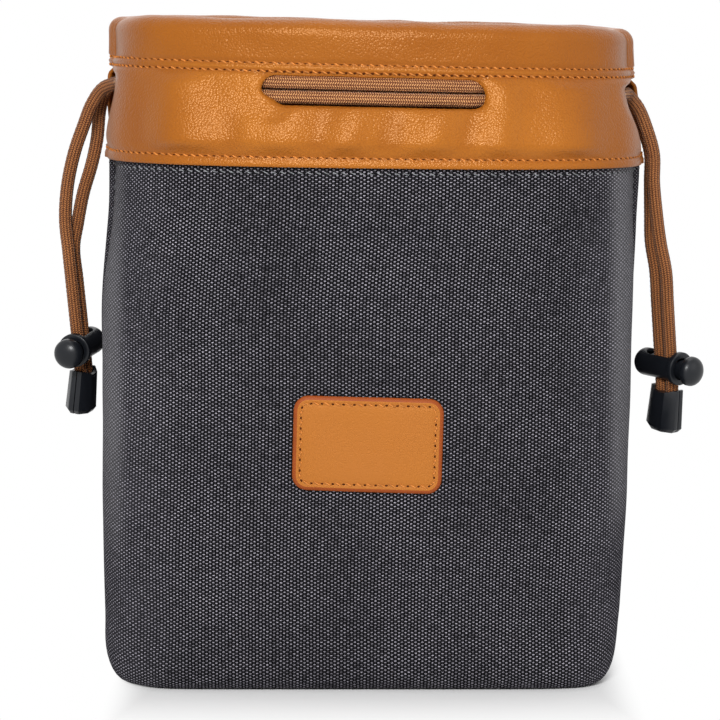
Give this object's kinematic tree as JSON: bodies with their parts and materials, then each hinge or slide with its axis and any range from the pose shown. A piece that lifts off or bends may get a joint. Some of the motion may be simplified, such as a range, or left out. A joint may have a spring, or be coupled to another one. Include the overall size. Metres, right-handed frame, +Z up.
{
  "type": "lens pouch",
  "caption": "Padded canvas lens pouch with a boxed base, leather drawstring collar, side slits, braided cords, sprung cord locks and clamshell cord ends.",
  "frame": {"origin": "on the floor, under the middle of the pouch without its free cords", "axes": "+Z up from the base to the mouth, +X along the width to the viewer's right, front with the label and the cord window faces -Y"},
  "size_m": [0.1962, 0.1056, 0.1928],
  "materials": {
    "canvas": "matte woven charcoal canvas",
    "foam": "matte closed-cell foam",
    "lining": "matte brushed lining cloth",
    "collar_leather": "satin grained tan leather",
    "patch_leather": "satin light tan leather, painted edge",
    "cord": "matte braided brown cord",
    "black_plastic": "satin moulded black",
    "spring_steel": "bright drawn wire"
  },
  "bodies": {
    "root": {"front_canvas_panel": "canvas", "back_canvas_panel": "canvas", "front_padding": "foam", "back_padding": "foam", "base_padding": "foam", "rim_foam": "foam", "front_lining": "lining", "back_lining": "lining", "front_collar": "collar_leather", "back_collar": "collar_leather", "label_patch": "patch_leather", "left_cord_loop": "cord", "right_cord_loop": "cord", "left_front_cord_tail": "cord", "left_back_cord_tail": "cord", "right_front_cord_tail": "cord", "right_back_cord_tail": "cord", "left_cord_end_front": "black_plastic", "left_cord_end_back": "black_plastic", "right_cord_end_front": "black_plastic", "right_cord_end_back": "black_plastic"},
    "left_lock": {"left_lock_barrel": "black_plastic", "left_lock_spring": "spring_steel"},
    "left_button": {"left_lock_plunger": "black_plastic"},
    "right_lock": {"right_lock_barrel": "black_plastic", "right_lock_spring": "spring_steel"},
    "right_button": {"right_lock_plunger": "black_plastic"}
  },
  "joints": [
    {"name": "left_lock_slide", "type": "slide", "parent": "root", "child": "left_lock", "axis": [-0.0794, -0.0894, 0.9928], "range_m": [0, 0.02]},
    {"name": "left_button_press", "type": "slide", "parent": "left_lock", "child": "left_button", "axis": [0.273, 0.9559, 0.1079], "range_m": [0, 0.0026], "stiffness_N_per_m": 300, "deforming": ["left_lock_spring"]},
    {"name": "right_lock_slide", "type": "slide", "parent": "root", "child": "right_lock", "axis": [-0.0884, -0.1669, 0.982], "range_m": [0, 0.02]},
    {"name": "right_button_press", "type": "slide", "parent": "right_lock", "child": "right_button", "axis": [-0.6472, 0.759, 0.0708], "range_m": [0, 0.0026], "stiffness_N_per_m": 300, "deforming": ["right_lock_spring"]}
  ]
}
